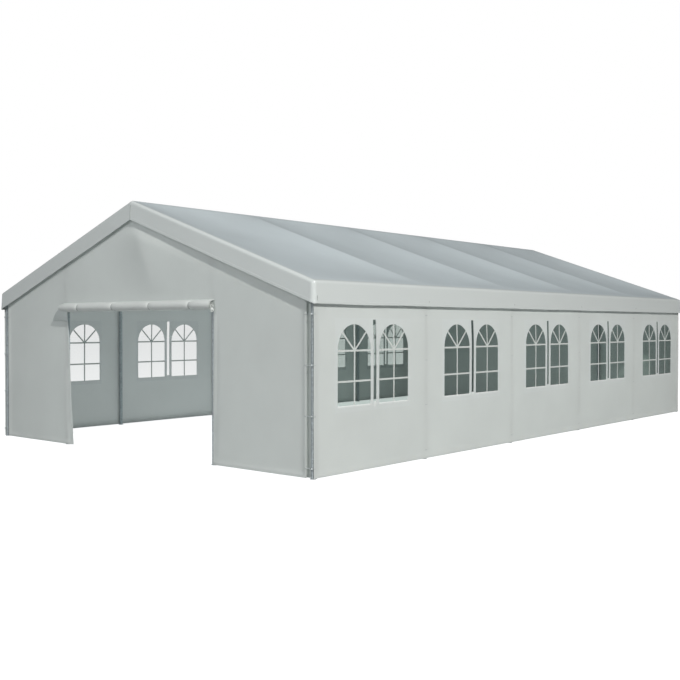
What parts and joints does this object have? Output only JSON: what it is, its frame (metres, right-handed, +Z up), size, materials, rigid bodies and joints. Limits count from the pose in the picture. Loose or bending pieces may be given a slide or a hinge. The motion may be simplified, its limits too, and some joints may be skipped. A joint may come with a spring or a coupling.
{
  "type": "marquee tent",
  "caption": "Long gabled event tent: round-tube frame, sagging fabric roof with deep hems, fabric walls with arched clear windows, and an open gable doorway under its rolled-up panel.",
  "frame": {"origin": "on the ground under the middle of the tent, where the lengthwise and crosswise middle planes of the frame meet", "axes": "+Z up; the ridge and the long walls run along Y, with the doorway gable facing -Y; X runs across the tent"},
  "size_m": [6.07, 10.1536, 3.13],
  "materials": {
    "galvanised_steel": "dull zinc-coated tube, blue-grey",
    "roof_fabric": "coated woven sheet, satin, cool grey-white",
    "wall_fabric": "coated woven sheet, matt, warm grey-white",
    "window_film": "clear soft film, slightly cloudy"
  },
  "bodies": {
    "root": {"left_post_1": "galvanised_steel", "left_post_2": "galvanised_steel", "left_post_3": "galvanised_steel", "left_post_4": "galvanised_steel", "left_post_5": "galvanised_steel", "left_post_6": "galvanised_steel", "right_post_1": "galvanised_steel", "right_post_2": "galvanised_steel", "right_post_3": "galvanised_steel", "right_post_4": "galvanised_steel", "right_post_5": "galvanised_steel", "right_post_6": "galvanised_steel", "left_rafter_1": "galvanised_steel", "left_rafter_2": "galvanised_steel", "left_rafter_3": "galvanised_steel", "left_rafter_4": "galvanised_steel", "left_rafter_5": "galvanised_steel", "left_rafter_6": "galvanised_steel", "right_rafter_1": "galvanised_steel", "right_rafter_2": "galvanised_steel", "right_rafter_3": "galvanised_steel", "right_rafter_4": "galvanised_steel", "right_rafter_5": "galvanised_steel", "right_rafter_6": "galvanised_steel", "ridge_tube": "galvanised_steel", "left_eave_tube": "galvanised_steel", "right_eave_tube": "galvanised_steel", "front_left_gable_post": "galvanised_steel", "front_right_gable_post": "galvanised_steel", "rear_left_gable_post": "galvanised_steel", "rear_right_gable_post": "galvanised_steel", "roof_left_slope": "roof_fabric", "roof_right_slope": "roof_fabric", "left_valance": "roof_fabric", "right_valance": "roof_fabric", "front_fascia": "roof_fabric", "rear_fascia": "roof_fabric", "left_wall": "wall_fabric", "right_wall": "wall_fabric", "front_wall_left": "wall_fabric", "front_wall_right": "wall_fabric", "front_gable_panel": "wall_fabric", "rear_gable_wall": "wall_fabric", "front_door_roll": "wall_fabric", "left_window_film": "window_film", "right_window_film": "window_film"}
  },
  "joints": []
}
